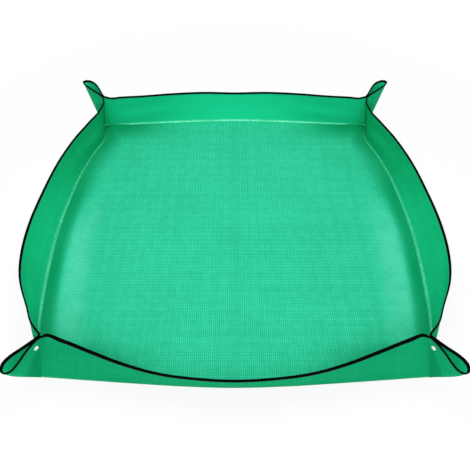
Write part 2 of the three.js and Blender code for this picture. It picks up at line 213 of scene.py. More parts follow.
# Weave and colours
WEAVE_PITCH = 0.0031
TAPE_PITCH = 0.0009
# The floor colours are lighter than the wall colours of the same cloth: painted light and sheen on the
# floor, which faces up.
FLOOR_FACE = (0.056, 0.745, 0.480, 1)
FLOOR_GROOVE = (0.010, 0.340, 0.155, 1)
WALL_FACE = (0.012, 0.580, 0.258, 1)
WALL_GROOVE = (0.004, 0.380, 0.142, 1)
SHADE = (0.001, 0.270, 0.095, 1)      # darker tint: painted shade in hollows along folds and in ear wedges, and the darker side of cloudy patches and strands
SHEEN = (0.110, 0.660, 0.450, 1)     # painted sheen on swells that catch the light
LIT = (0.016, 0.800, 0.440, 1)        # painted light on walls that catch the light
WORN = (0.240, 0.840, 0.620, 1)       # whitened crease
TAPE_TINTS = (0.0004, 0.0010, 0.0007, 1), (0.0014, 0.0028, 0.0020, 1)
THREAD_TINTS = (0.002, 0.003, 0.003, 1), (0.008, 0.010, 0.009, 1)
NICKEL_TINTS = (0.80, 0.81, 0.79, 1), (0.92, 0.92, 0.90, 1)
ENAMEL_TINTS = (0.006, 0.40, 0.17, 1), (0.012, 0.48, 0.21, 1)
EAR_LIGHT = 0.3                # share of light that passes through the ears

# Sizes of spots in the materials, in spots to a metre
CLOUDS = 9.0
PATCHES = 24.0
MOTTLES = 70.0
SPECKLES = 230.0
TAPE_PATCHES = 120.0
BRUSHING = 900.0
ENAMEL_SPECKS = 1400.0
THREAD_TWIST = 2600.0
STRAND_PICK = 0.37             # start of the row of shades that the strands pick from

# Camera, light and stage
CAMERA_AT = (0, -0.5856, 0.7119)
CAMERA_PITCH = math.radians(51.54)
IMAGE_SIZE = 470
FOCAL = 498.3                  # in pixels of the image
SENSOR = 36.0
GROUND = -0.0003
GROUND_SIZE = 6.0
GROUND_POINTS = 13             # along each side
SHADOW_ZONE = (0.38, 0.85)     # distances from the middle between which the shadow fades out
SHADOW_PAPER = 0.88            # share of plain white that the ground shows inside that zone
WORLD_FILL = 0.42
LAMPS = [                      # name, place, aim, size, power
    ("overhead", (0, 0, 0.85), (0, 0.05, 0), (0.6, 0.5), 4.9),
    ("front", (0, -1.3, 1.75), (0, 0, 0.02), (1.6, 1.0), 15.0),
]


# Curves

def smoothstep(low, high, x):
    t = np.clip((x - low) / (high - low), 0, 1)
    return t * t * (3 - 2 * t)


def through(table, column, u):
    """Smooth curve through one column of a table whose first column holds uneven places."""
    places, values = table[:, 0], table[:, column]
    gap = np.diff(places)
    rate = np.diff(values) / gap
    inner = (rate[:-1] * gap[1:] + rate[1:] * gap[:-1]) / (gap[:-1] + gap[1:])
    slope = np.concatenate([rate[:1], inner, rate[-1:]])
    k = np.clip(np.searchsorted(places, u, side="right") - 1, 0, len(gap) - 1)
    t = (u - places[k]) / gap[k]
    ends = values[k] * (1 + 2 * t) * (1 - t) ** 2 + values[k + 1] * t * t * (3 - 2 * t)
    return ends + gap[k] * (slope[k] * t * (1 - t) ** 2 + slope[k + 1] * t * t * (t - 1))


def both_halves(line):
    """A list that begins at the middle of a wall, with its mirror image put before it."""
    if line[0][0] < 0:
        return line
    return [(-u, *rest) for u, *rest in reversed(line[1:])] + line


def belly(u, v):
    """How far a wall hangs out between its fold and its top edge, with soft buckles near its ends."""
    wave = np.sin(5.3 * u + 1.1) * np.sin(2.2 * v + u)
    near_end = smoothstep(0.3, 0.7, np.abs(u)) * (1 - smoothstep(0.86, 0.98, np.abs(u)))
    buckle = near_end * np.sin(9 * v + 3 * u * u + 0.4)
    free = (1 - u ** 6) * np.sin(np.pi * v)
    return free * (BELLY + BELLY_WAVE * wave + BUCKLE * buckle)


class Wall:
    """One side of the rim: how its fold and top edge bow outwards, and where it stands."""

    def __init__(self, name, along, out, fold, rim):
        pinch = (PINCH_DEPTH, RIM_HEIGHT)
        self.name = name
        self.along = np.array(along, float)
        self.out = np.array(out, float)
        self.fold = np.array(both_halves(fold))
        self.rim = np.array([(-1, *pinch), *both_halves(rim), (1, *pinch)])

    def fold_out(self, u):
        return through(self.fold, 1, u)

    def place(self, along, out, up):
        upright = np.array([0, 0, 1.0])
        return along[..., None] * self.along + (HALF + out)[..., None] * self.out + up[..., None] * upright

    def point(self, u, v):
        """Middle of the cloth at u along the wall, -1 to 1, and v from fold to top edge, 0 to 1."""
        slack = belly(u, v)
        return self.place(
            u * (HALF + (PINCH_ALONG - HALF) * v),
            self.fold_out(u) * (1 - v) + through(self.rim, 1, u) * v + slack,
            SKIN * (1 - v) + through(self.rim, 2, u) * v - BELLY_DROP * slack,
        )


WALLS = {
    "front": Wall("front", (1, 0, 0), (0, -1, 0), END_FOLD, FRONT_RIM),
    "right": Wall("right", (0, 1, 0), (1, 0, 0), SIDE_FOLD, SIDE_RIM),
    "back": Wall("back", (1, 0, 0), (0, 1, 0), END_FOLD, BACK_RIM),
    "left": Wall("left", (0, 1, 0), (-1, 0, 0), SIDE_FOLD, SIDE_RIM),
}


# Materials

class Graph:
    """Short words for building a node material."""

    def __init__(self, name):
        self.material = bpy.data.materials.new(name)
        self.material.use_nodes = True
        self.tree = self.material.node_tree
        self.shader = self.tree.nodes["Principled BSDF"]

    def node(self, kind, **settings):
        made = self.tree.nodes.new(kind)
        for key, value in settings.items():
            setattr(made, key, value)
        return made

    def put(self, socket, value):
        if isinstance(value, bpy.types.NodeSocket):
            self.tree.links.new(value, socket)
        else:
            socket.default_value = value

    def set(self, name, value):
        self.put(self.shader.inputs[name], value)

    def math(self, operation, a, b=0.0, clamp=False):
        made = self.node("ShaderNodeMath", operation=operation, use_clamp=clamp)
        self.put(made.inputs[0], a)
        self.put(made.inputs[1], b)
        return made.outputs[0]

    def times(self, a, b):
        return self.math("MULTIPLY", a, b)

    def between(self, share, a, b):
        """The number a where the share is 0, and b where it is 1."""
        return self.math("ADD", self.times(a, self.math("SUBTRACT", 1.0, share)), self.times(b, share))

    def mix(self, share, a, b):
        """The colour a where the share is 0, and b where it is 1."""
        made = self.node("ShaderNodeMix", data_type="RGBA")
        self.put(made.inputs[0], share)
        self.put(made.inputs[6], a)
        self.put(made.inputs[7], b)
        return made.outputs[2]

    def ramp(self, value, low, high, to_low=0.0, to_high=1.0):
        made = self.node("ShaderNodeMapRange", interpolation_type="SMOOTHSTEP")
        for socket, number in zip(made.inputs, (value, low, high, to_low, to_high)):
            self.put(socket, number)
        return made.outputs[0]

    def attribute(self, name, output):
        return self.node("ShaderNodeAttribute", attribute_name=name).outputs[output]

    def own_place(self):
        return self.node("ShaderNodeTexCoord").outputs["Object"]

    def noise(self, vector, scale, detail=3.0, rough=0.5):
        made = self.node("ShaderNodeTexNoise")
        self.put(made.inputs["Vector"], vector)
        self.put(made.inputs["Scale"], scale)
        self.put(made.inputs["Detail"], detail)
        self.put(made.inputs["Roughness"], rough)
        return made.outputs["Fac"]

    def bump(self, height, distance, strength):
        made = self.node("ShaderNodeBump")
        self.put(made.inputs["Height"], height)
        self.put(made.inputs["Distance"], distance)
        self.put(made.inputs["Strength"], strength)
        self.set("Normal", made.outputs[0])


def weave(g, flat, pitch):
    """Plain weave over flat coordinates: each strand swells across its width and passes over and under.

    Gives the height, the squares between the grooves, and a shade that differs from strand to strand.
    """
    parts = g.node("ShaderNodeSeparateXYZ")
    g.put(parts.inputs[0], flat)
    waves, shades = [], []
    for axis in range(2):
        along = g.math("DIVIDE", parts.outputs[axis], pitch)
        waves.append(g.math("SINE", g.times(along, math.pi)))
        pick = g.node("ShaderNodeTexWhiteNoise", noise_dimensions="1D")
        g.put(pick.inputs["W"], g.math("ADD", g.math("FLOOR", along), STRAND_PICK + axis))
        shades.append(pick.outputs["Value"])
    over = g.ramp(g.times(*waves), -0.25, 0.25)
    swells = [g.math("POWER", g.math("ABSOLUTE", wave), 0.6) for wave in waves]
    return g.between(over, *swells), g.times(*swells), g.between(over, *shades)


def worn_crease(g, flat, fold, painted_light, patchy):
    """Speckled pale line of whitened cloth along a fold, made stronger where light is painted on the cloth.
    """
    line = g.ramp(g.math("ABSOLUTE", fold), 0.0010, 0.0044, 1.0, 0.0)
    speckle = g.ramp(g.noise(flat, SPECKLES, 4.0, 0.65), 0.36, 0.62, 0.25, 1.35)
    worn = g.times(g.times(line, speckle), g.ramp(patchy, 0.3, 0.65, 0.6, 1.2))
    return g.math("MULTIPLY", worn, g.math("ADD", g.times(painted_light, 0.9), 0.30), clamp=True)


def cloth_tint(g, flat, mottled, squares, shade):
    """Colour of the cloth: its weave, then dark patches, painted shade in hollows, painted light and sheen,
    and worn creases.
    """
    fold = g.attribute("fold", "Fac")
    tone = g.attribute("tone", "Fac")
    patchy = g.noise(flat, PATCHES, 4.0, 0.6)
    on_wall = g.ramp(fold, -0.012, 0.004)
    # lighter floor colours: painted light
    face = g.mix(on_wall, FLOOR_FACE, WALL_FACE)
    groove = g.mix(on_wall, FLOOR_GROOVE, WALL_GROOVE)
    tint = g.mix(g.times(squares, g.ramp(mottled, 0.2, 0.7, 0.75, 1.0)), groove, face)
    darker = [
        g.ramp(g.noise(flat, CLOUDS, 4.0), 0.35, 0.7, 0.0, 0.12),
        g.times(g.ramp(patchy, 0.4, 0.75, 0.0, 0.12), on_wall),
        g.times(shade, 0.22),
        # painted shade, where the tone is below 0
        g.times(g.math("MAXIMUM", g.times(tone, -1.0), 0.0), 0.95),
    ]
    for share in darker:
        tint = g.mix(share, tint, SHADE)
    # painted light, where the tone is above 0
    painted_light = g.math("MAXIMUM", tone, 0.0)
    hazy = g.math("MAXIMUM", on_wall, g.ramp(patchy, 0.28, 0.66, 0.45, 1.0))
    # painted sheen on the floor, in patches, and painted light on the walls and ears
    tint = g.mix(g.times(g.times(painted_light, hazy), 0.8), tint, g.mix(on_wall, SHEEN, LIT))
    return g.mix(worn_crease(g, flat, fold, painted_light, patchy), tint, WORN)


def cloth_material(name, lit_through):
    """Green woven cloth; lit_through is the share of light that passes through it."""
    g = Graph(name)
    flat = g.attribute("flat", "Vector")
    height, squares, shade = weave(g, flat, WEAVE_PITCH)
    mottled = g.noise(flat, MOTTLES)
    g.set("Base Color", cloth_tint(g, flat, mottled, squares, shade))
    g.set("Roughness", g.ramp(mottled, 0.2, 0.8, 0.62, 0.76))
    g.set("Specular IOR Level", 0.006)
    g.set("Subsurface Weight", lit_through)
    g.set("Subsurface Radius", (0.3, 1.0, 0.6))
    g.set("Subsurface Scale", 0.002)
    g.bump(g.math("ADD", height, g.times(mottled, 0.35)), 0.00016, 0.55)
    return g.material


def tape_material():
    g = Graph("black_tape")
    flat = g.attribute("flat", "Vector")
    height, _, _ = weave(g, flat, TAPE_PITCH)
    patch = g.noise(flat, TAPE_PATCHES)
    g.set("Base Color", g.mix(g.ramp(patch, 0.3, 0.75), *TAPE_TINTS))
    g.set("Roughness", g.ramp(patch, 0.2, 0.8, 0.75, 0.9))
    g.set("Specular IOR Level", 0.02)
    g.bump(height, 0.0001, 0.6)
    return g.material


def thread_material():
    g = Graph("thread")
    twist = g.noise(g.own_place(), THREAD_TWIST, 2.0)
    g.set("Base Color", g.mix(twist, *THREAD_TINTS))
    g.set("Roughness", 0.55)
    g.bump(twist, 0.00005, 0.5)
    return g.material


def nickel_material():
    g = Graph("bright_nickel")
    brushed = g.noise(g.own_place(), BRUSHING, 4.0, 0.6)
    g.set("Base Color", g.mix(brushed, *NICKEL_TINTS))
    g.set("Metallic", 1.0)
    g.set("Roughness", g.ramp(brushed, 0.25, 0.75, 0.16, 0.30))
    g.bump(brushed, 0.00003, 0.3)
    return g.material


def enamel_material():
    g = Graph("green_enamel")
    speck = g.noise(g.own_place(), ENAMEL_SPECKS)
    g.set("Base Color", g.mix(speck, *ENAMEL_TINTS))
    g.set("Roughness", g.ramp(speck, 0.25, 0.75, 0.55, 0.7))
    g.set("Specular IOR Level", 0.04)
    g.bump(speck, 0.00002, 0.3)
    return g.material


# Meshes

def mesh_piece(name, points, faces, material, sharp=(), flat=None, fold=None, tone=None):
    mesh = bpy.data.meshes.new(name)
    mesh.from_pydata([tuple(p) for p in points], [], faces)
    mesh.polygons.foreach_set("use_smooth", [True] * len(mesh.polygons))
    if sharp:
        wanted = {tuple(sorted(e)) for e in sharp}
        for edge in mesh.edges:
            edge.use_edge_sharp = tuple(sorted(edge.vertices)) in wanted
    if flat is not None:
        layer = mesh.attributes.new("flat", "FLOAT_VECTOR", "POINT")
        layer.data.foreach_set("vector", np.asarray(flat, np.float32).ravel())
    for key, values in (("fold", fold), ("tone", tone)):
        if values is not None:
            layer = mesh.attributes.new(key, "FLOAT", "POINT")
            layer.data.foreach_set("value", np.asarray(values, np.float32).ravel())
    mesh.materials.append(material)
    piece = bpy.data.objects.new(name, mesh)
    bpy.context.scene.collection.objects.link(piece)
    return piece


def grid_faces(rows, cols):
    """Quads over a grid of rows x cols points, numbered row by row."""
    corner = np.arange(rows * cols).reshape(rows, cols)
    quads = np.stack([corner[:-1, :-1], corner[:-1, 1:], corner[1:, 1:], corner[1:, :-1]], -1)
    return quads.reshape(-1, 4).tolist()


def grid_normals(points):
    across = np.gradient(points, axis=1)
    down = np.gradient(points, axis=0)
    normals = np.cross(across, down)
    return normals / np.linalg.norm(normals, axis=2, keepdims=True)


def grid_facing(points, way):
    """Normals and faces of a grid of points, turned to look the given way."""
    rows, cols = points.shape[:2]
    normals = grid_normals(points)
    faces = grid_faces(rows, cols)
    if normals[rows // 2, cols // 2] @ way < 0:
        return -normals, [face[::-1] for face in faces]
    return normals, faces


def tube_faces(rings, sides, start=0):
    """Quads round a row of rings, with both ends closed."""
    faces = []
    for r in range(rings - 1):
        for a in range(sides):
            i, j = start + r * sides + a, start + r * sides + (a + 1) % sides
            faces.append([i, j, j + sides, i + sides])
    faces.append([start + a for a in range(sides)][::-1])
    faces.append([start + (rings - 1) * sides + a for a in range(sides)])
    return faces


def rim_edges(faces):
    """Directed edges that only one face uses."""
    edges = {}
    for face in faces:
        for a, b in zip(face, face[1:] + face[:1]):
            edges[(a, b)] = True
    return [(a, b) for a, b in edges if (b, a) not in edges]


def shell(name, points, normals, faces, material, flat, fold, tone, tone_behind=0.0):
    """A closed sheet of even thickness round middle points; faces look along the normals."""
    count = len(points)
    both = np.concatenate([points + normals * SKIN, points - normals * SKIN])
    under = [[i + count for i in reversed(face)] for face in faces]
    rim = rim_edges(faces)
    sides = [[b, a, a + count, b + count] for a, b in rim]
    sharp = rim + [(a + count, b + count) for a, b in rim]
    folds = np.concatenate([np.broadcast_to(fold, count)] * 2)
    tones = np.concatenate([np.broadcast_to(tone, count), np.broadcast_to(tone_behind, count)])
    flats = np.concatenate([flat, flat])
    return mesh_piece(name, both, faces + under + sides, material, sharp, flats, folds, tones)


def area_of(points, faces):
    total = 0.0
    for face in faces:
        p = points[face]
        spread = p[1:] - p[0]
        total += np.linalg.norm(np.cross(spread[:-1], spread[1:]).sum(0)) / 2
    return float(total)


# Samples along a fold, closer together near its ends, and from fold to rim
ALONG = np.linspace(-1, 1, 121)
ALONG = ALONG * (1.3 - 0.3 * ALONG ** 2)
UP = np.linspace(0, 1, 30)


# Floor

def floor_plan():
    """Grid of the floor out to its four bowed folds, and its distances inside the side and end folds."""
    s, t = np.meshgrid(ALONG, ALONG)
    side = WALLS["right"]
    end = WALLS["front"]
    x = s * HALF + np.sign(s) * side.fold_out(t) * np.abs(s) ** 3
    y = t * HALF + np.sign(t) * end.fold_out(s) * np.abs(t) ** 3
    y = np.where(np.abs(s) == 1, t * HALF, y)
    x = np.where(np.abs(t) == 1, s * HALF, x)
    to_side = HALF + side.fold_out(np.clip(y / HALF, -1, 1)) - np.abs(x)
    to_end = HALF + end.fold_out(np.clip(x / HALF, -1, 1)) - np.abs(y)
    return x, y, to_side, to_end


def near_corner(x):
    return smoothstep(0.35, 0.85, np.abs(x) / HALF)


def swell(distance, height):
    """Rise of the floor at a distance inside a fold."""
    near = distance / SWELL_PEAK
    far = (distance - SWELL_PEAK) / (SWELL_WIDTH - SWELL_PEAK)
    rising = np.sin(np.clip(near, 0, 1) * math.pi / 2)
    falling = np.cos(np.clip(far, 0, 1) * math.pi / 2) ** 2
    return height * np.where(distance < SWELL_PEAK, rising, falling)


def floor_rise(x, y, to_side, to_end):
    nearest = np.minimum(to_side, to_end)
    rise = np.maximum(swell(to_side, SWELL_SIDE), swell(to_end, SWELL_END * near_corner(x)))
    rise = rise * smoothstep(-0.001, 0.012, nearest * 3)
    waves = 1 + np.sin(31 * x + 1.3) * np.sin(27 * y + 0.4)
    return rise + RIPPLE * waves * smoothstep(0.02, 0.1, nearest)


def hollow(distance, reach):
    """Painted shade beside a fold."""
    return smoothstep(0.001, 0.005, distance) * (1 - smoothstep(0.015, 0.031 * reach, distance))


def sheen_band(distance):
    """Painted sheen on the band where the swell inside a fold turns to the light."""
    return smoothstep(0.022, 0.036, distance) * (1 - smoothstep(0.050, 0.085, distance))


def floor_tone(x, y, to_side, to_end):
    """Painted shade in the hollows beside the folds, painted sheen inside the side folds and painted light
    at the back fold.
    """
    behind = smoothstep(-0.12, 0.35, y / HALF)
    uneven = 0.85 + 0.15 * np.sin(23 * y + 0.7) * np.sin(9 * y)
    dark_side = hollow(to_side, 1.2 + 0.6 * behind) * uneven
    dark_end = hollow(to_end, 2.6) * near_corner(x)
    bright = SHEEN_TONE * sheen_band(to_side) * (1 - behind) * uneven * (1 - dark_end)
    tone = bright - np.maximum(dark_side, CORNER_TONE * dark_end)
    glow = (1 - smoothstep(0.001, 0.004, to_end)) * (y > 0)
    return tone * (1 - glow) + GLOW_TONE * glow


def run_corners(points, faces, size):
    """Runs each corner of the floor from the foot of one crease, by the foot of the ear, to the other.

    Moves the corner points of the grid, puts new ones into the corner faces, and gives the new points.
    """
    added = []
    for row, col in ((0, 0), (0, size - 1), (size - 1, 0), (size - 1, size - 1)):
        at = row * size + col
        sx, sy = (1 if col else -1), (1 if row else -1)
        tip = HALF + DIAG * ear_foot(TIP_OUT["back" if row else "front"])
        points[at] = (sx * HALF, sy * (HALF + LEDGE), SKIN)
        first = size * size + len(added)
        added += [(sx * tip, sy * tip, SKIN), (sx * (HALF + LEDGE), sy * HALF, SKIN)]
        beside = at + (-size if row else size)
        face = next(f for f in faces if at in f)
        k = face.index(at)
        if face[(k + 1) % 4] == beside:
            face[k + 1:k + 1] = [first, first + 1]
        else:
            face[k:k] = [first + 1, first]
    return added


def floor_cloth(material):
    x, y, to_side, to_end = plan = floor_plan()
    points = np.stack([x, y, SKIN + floor_rise(*plan)], -1)
    normals = grid_normals(points).reshape(-1, 3)
    normals *= np.sign(normals[:, 2:])
    faces = grid_faces(*x.shape)
    points = points.reshape(-1, 3)
    added = run_corners(points, faces, len(ALONG))
    none = np.zeros(len(added))
    points = np.concatenate([points, added])
    normals = np.concatenate([normals, np.tile([0, 0, 1.0], (len(added), 1))])
    fold = np.concatenate([-np.minimum(to_side, to_end).ravel(), none])
    tone = np.concatenate([floor_tone(*plan).ravel(), none])
    piece = shell("floor_cloth", points, normals, faces, material, points * (1, 1, 0), fold, tone)
    return piece, area_of(points, faces)


# Walls

def wall_tone(wall, u, v):
    """Painted light along the back wall and at the front of the side walls, painted shade at the feet near
    the other ends.
    """
    at_end = smoothstep(0.55, 0.97, np.abs(u))
    foot = (1 - smoothstep(0.02, 0.55, v)) * smoothstep(0.0, 0.08, v)
    if wall.name == "front":
        return FRONT_FOOT_TONE * at_end * foot
    if wall.name == "back":
        return BACK_TONE + (BACK_END_TONE - BACK_TONE) * at_end
    near_front = smoothstep(0.35, 0.75, -u)
    return SIDE_TONE * near_front + SIDE_FOOT_TONE * at_end * foot * (u > 0)


def wall_cloth(wall, material):
    u, v = np.meshgrid(ALONG, UP)
    grid = wall.point(u, v)
    normals, faces = grid_facing(grid, -wall.out)
    length = np.linalg.norm(grid[-1] - grid[0], axis=-1)
    reach = wall.fold_out(u) + v * length
    flat = u[..., None] * HALF * wall.along + (HALF + reach)[..., None] * wall.out
    points = grid.reshape(-1, 3)
    piece = shell(
        f"{wall.name}_wall_cloth", points, normals.reshape(-1, 3), faces, material,
        flat.reshape(-1, 3), (v * length).ravel(), wall_tone(wall, u, v).ravel(),
    )
    return piece, area_of(points, faces), grid


# Ears, in the frame of one corner: out along the diagonal, side from the diagonal plane, up

EAR_SHARES = np.concatenate([np.linspace(0, 0.9, 56), np.linspace(0.915, 1, 14)])
EAR_RISE = np.linspace(0, 1, 40)[:, None]
CREASE_FOOT = np.array([FOOT, FOOT, SKIN])
CREASE_TOP = np.array([ROOT_OUT, ROOT_SIDE, RIM_HEIGHT])
SNAP_SHARE = (RIM_HEIGHT - SNAP_DOWN - SKIN) / (RIM_HEIGHT - SKIN)
SNAP = CREASE_FOOT + (CREASE_TOP - CREASE_FOOT) * SNAP_SHARE + np.array([SNAP_OUT, 0, 0])


class EarHalf:
    """One layer of an ear: the names that go with it, its corner of the floor and its own axes."""

    def __init__(self, end, side, half):
        self.end = end
        self.half = half
        self.on_end = half == end
        self.body = f"{end}_{side}_ear_{half}"
        self.snap = f"{end}_{side}_snap"
        sx, sy = SIGN[side], SIGN[end]
        turn = 1 if self.on_end else -1
        self.corner = np.array([sx * HALF, sy * HALF, 0])
        self.axes = np.array([
            (sx * DIAG, sy * DIAG, 0),
            (-sx * DIAG * turn, sy * DIAG * turn, 0),
            (0, 0, 1),
        ])
        on_x, on_y = np.array([sx, 0, 0]), np.array([0, sy, 0])
        self.flat_axes = (on_x, on_y) if self.on_end else (on_y, on_x)

    def place(self, local):
        return local @ self.axes + self.corner


def ear_foot(out):
    """How far out the foot of an ear is, below a point of its rim."""
    return FOOT + FOOT_SCALE * (out - ROOT_OUT)


def ear_points(end):
    """Middle of one ear layer in rows from foot to rim, and how far each point lies from its crease."""
    rim = np.array(EAR_RIM[end])
    f, r = EAR_SHARES, EAR_RISE
    out = ROOT_OUT + (TIP_OUT[end] - ROOT_OUT) * f
    bow = EAR_BOW[end] * 27 / 4 * r * r * (1 - r) * f ** 2
    points = np.stack([
        ear_foot(out) * (1 - r) + out * r + bow,
        FOOT * (1 - f) * (1 - r) + through(rim, 1, f) * r ** EAR_FULLNESS[end],
        (SKIN + CLOTH * f) * (1 - r) + (RIM_HEIGHT + through(rim, 2, f)) * r,
    ], -1)
    crease = CREASE_FOOT * (1 - r) + CREASE_TOP * r
    from_crease = points[..., 0] - crease[:, :1]
    side = points[..., 1]
    side = side + (crease[:, 1:2] - side) * (1 - smoothstep(0, LIP, from_crease))
    to_snap = np.hypot(points[..., 0] - SNAP[0], points[..., 2] - SNAP[2])
    points[..., 1] = side + (SNAP[1] - side) * (1 - smoothstep(SNAP_FLAT, SNAP_FADE, to_snap))
    points[:, 0] = crease
    return points, from_crease


def ear_wedge(from_crease):
    """Painted shade in a wedge beside the crease, widening from the snap down to the foot."""
    reach = WEDGE_TOP + WEDGE_SPREAD * np.clip(0.8 - EAR_RISE, 0, 1)
    inside = 1 - smoothstep(reach - 0.007, reach + 0.004, from_crease)
    below_snap = 1 - smoothstep(0.72, 0.88, EAR_RISE)
    return WEDGE_TONE * inside * below_snap * smoothstep(0, 0.06, EAR_RISE)


def ear_cloth(ear, material):
    local, from_crease = ear_points(ear.end)
    grid = ear.place(local)
    normals, faces = grid_facing(grid, -ear.axes[1])
    across, away = ear.flat_axes
    up = HALF + LEDGE + EAR_RISE * RIM_HEIGHT
    flat = across * (HALF + from_crease)[..., None] + away * up[..., None]
    points = grid.reshape(-1, 3)
    # Inside of the ear: painted light. Outside: a wedge of painted shade.
    piece = shell(
        f"{ear.body}_cloth", points, normals.reshape(-1, 3), faces, material,
        flat.reshape(-1, 3), OFF_FOLD, EAR_TONE, -ear_wedge(from_crease).ravel(),
    )
    return piece, area_of(points, faces), grid


# Edge binding and its stitches

def at_places(places, known, line):
    """Points at places along a line whose own points lie at known places."""
    return np.stack([np.interp(places, known, line[:, k]) for k in range(3)], -1)


def resample(line, step):
    """Points along a line, about a step apart, with the line's two ends kept, and their places."""
    gaps = np.linalg.norm(np.diff(line, axis=0), axis=1)
    run = np.concatenate([[0], np.cumsum(gaps)])
    count = max(4, int(round(run[-1] / step)))
    places = np.linspace(0, run[-1], count + 1)
    return at_places(places, run, line), places


def edge_frame(edge, below):
    """Directions down the cloth and across it, at each point of an edge."""
    along = np.gradient(edge, axis=0)
    along /= np.linalg.norm(along, axis=1, keepdims=True)
    down = below - edge
    square = down - along * (down * along).sum(1, keepdims=True)
    size = np.linalg.norm(square, axis=1, keepdims=True)
    return down / size, np.cross(along, square / size)


def tape_profile(width, leg):
    """Section of the folded tape: across the cloth, down from its edge."""
    thick = SKIN + leg
    thin = SKIN + TAPE * 0.35
    arc = [(thick * math.cos(a), -TAPE_BEND - thick * 0.8 * math.sin(a)) for a in np.linspace(0, math.pi, 7)]
    face = [(thin, width), (thick * 0.92, width * 0.88), (thick * 1.04, width * 0.45)]
    turned_back = [(-n, d) for n, d in reversed(face)]
    hem = width + TAPE_HEM
    return [(SKIN * 0.6, hem)] + face + arc + turned_back + [(-SKIN * 0.6, hem)]


def binding(name, edge, below, width, end_width, leg, material):
    """Folded tape along an edge, its width and its legs changing towards the two ends.

    Gives the tape and the track of its stitches: places, edge, way down by the width, way out by a leg.
    """
    fine, places = resample(edge, TAPE_STEP)
    lower, _ = resample(below, TAPE_STEP)
    lower = at_places(np.linspace(0, len(lower) - 1, len(fine)), np.arange(len(lower)), lower)
    down, across = edge_frame(fine, lower)
    from_end = np.minimum(places, places[-1] - places)
    widths = end_width + (width - end_width) * smoothstep(0, TAPE_TAPER, from_end)
    legs = TAPE + (leg - TAPE) * smoothstep(0, THICK_TAPER, from_end)
    puckers = 1 + TAPE_PUCKER * np.cos(2 * math.pi * places / STITCH_PITCH)
    points, flat = [], []
    for k, place in enumerate(places):
        profile = tape_profile(widths[k], legs[k] * puckers[k])
        for n, d in profile:
            points.append(fine[k] + across[k] * n + down[k] * d)
            flat.append((place, d if n > 0 else -d, 0))
    tape = mesh_piece(name, points, tube_faces(len(places), len(profile)), material, flat=flat)
    return tape, (places, fine, down * widths[:, None], across * (SKIN + legs * STITCH_OUT)[:, None])


def stitch_ring(edge, low, out, face, thick):
    """Points round a thread that lies on one face of the tape."""
    at = edge + low * STITCH_DOWN + out * face
    low = low / np.linalg.norm(low)
    out = out / np.linalg.norm(out)
    at = at - out * face * (1 - thick) * STITCH_RADIUS
    angles = [2 * math.pi * a / STITCH_SIDES for a in range(STITCH_SIDES)]
    return [at + (low * math.cos(a) + out * math.sin(a)) * STITCH_RADIUS * thick for a in angles]


def stitches(name, track, material):
    """One short thread after another, on both faces of the tape."""
    places, *lines = track
    count = int((places[-1] - STITCH_MARGIN) / STITCH_PITCH)
    first = (places[-1] - (count - 1) * STITCH_PITCH) / 2
    points, faces = [], []
    for number in range(count):
        middle = first + number * STITCH_PITCH
        for face in (1, -1):
            faces += tube_faces(len(STITCH_RINGS), STITCH_SIDES, len(points))
            for share, thick in STITCH_RINGS:
                place = middle + share * STITCH_LENGTH
                points += stitch_ring(*(at_places(place, places, line) for line in lines), face, thick)
    return mesh_piece(name, points, faces, material)


# Press snaps, turned about the side direction of their ear half; heights from the middle of the cloth

SEAT = SKIN + SNAP_SEAT
BETWEEN = 2 * SNAP[1]
STUD_BASE = -SEAT - STUD_NECK / 2
SOCKET_RIM = -BETWEEN - STUD_BASE + STUD_PLAY
BORE_TOP = -SEAT - SOCKET_FLOOR
SHANK_END = BORE_TOP - SNAP_SEAT
STUD_END = -BETWEEN - SHANK_END + STUD_PLAY
RING_AT = (SOCKET_RIM + BORE_TOP) / 2 - SPRING_GROOVE / 4


def arc_points(centre, radius, start, stop, count):
    angles = np.radians(np.linspace(start, stop, count))
    return [(centre[0] + radius * math.cos(a), centre[1] + radius * math.sin(a)) for a in angles]


def cap_outline():
    edge = arc_points((CAP_RADIUS - CAP_ROUND, SEAT + CAP_ROUND), CAP_ROUND, -90, 60, 7)
    dome = CAP_RISE - CROWN_FOOT
    shares = np.linspace(CROWN_SHARE, 0.0, 9)
    crown = [(CAP_RADIUS * a, SEAT + CROWN_FOOT + dome * (1 - a * a)) for a in shares]
    return [(0, SHANK_END), (SHANK_RADIUS, SHANK_END), (SHANK_RADIUS, SEAT)] + edge + crown


def socket_outline():
    groove_low, groove_high = RING_AT - SPRING_GROOVE / 2, RING_AT + SPRING_GROOVE / 2
    groove = SOCKET_BORE + SPRING_GROOVE
    edge = arc_points((SOCKET_RADIUS - SOCKET_ROUND, SOCKET_RIM + SOCKET_ROUND), SOCKET_ROUND, 0, -90, 5)
    return [
        (SNAP_HOLE, -SEAT), (SOCKET_RADIUS - CHAMFER, -SEAT), (SOCKET_RADIUS, -SEAT - SOCKET_BEVEL), *edge,
        (SOCKET_BORE + CHAMFER, SOCKET_RIM), (SOCKET_BORE, SOCKET_RIM + CHAMFER),
        (SOCKET_BORE, groove_low), (groove, groove_low), (groove, groove_high), (SOCKET_BORE, groove_high),
        (SOCKET_BORE, BORE_TOP), (SNAP_HOLE, BORE_TOP), (SNAP_HOLE, -SEAT),
    ]


def stud_outline():
    bore, bore_end = POST_SHANK + POST_PLAY, STUD_END + STUD_WALL
    flange = arc_points((STUD_FLANGE - STUD_ROUND, STUD_BASE + STUD_ROUND), STUD_ROUND, 45, -90, 5)
    head = arc_points((STUD_HEAD - HEAD_ROUND, STUD_END + HEAD_ROUND), HEAD_ROUND, 60, -90, 8)
    return [
        (0, bore_end), (bore, bore_end), (bore, -SEAT), (STUD_FLANGE - CHAMFER, -SEAT), *flange,
        (STUD_NECK + CHAMFER / 2, STUD_BASE), (STUD_NECK, STUD_BASE - CHAMFER),
        (STUD_NECK, STUD_END + HEAD_LENGTH), *head, (0, STUD_END),
    ]


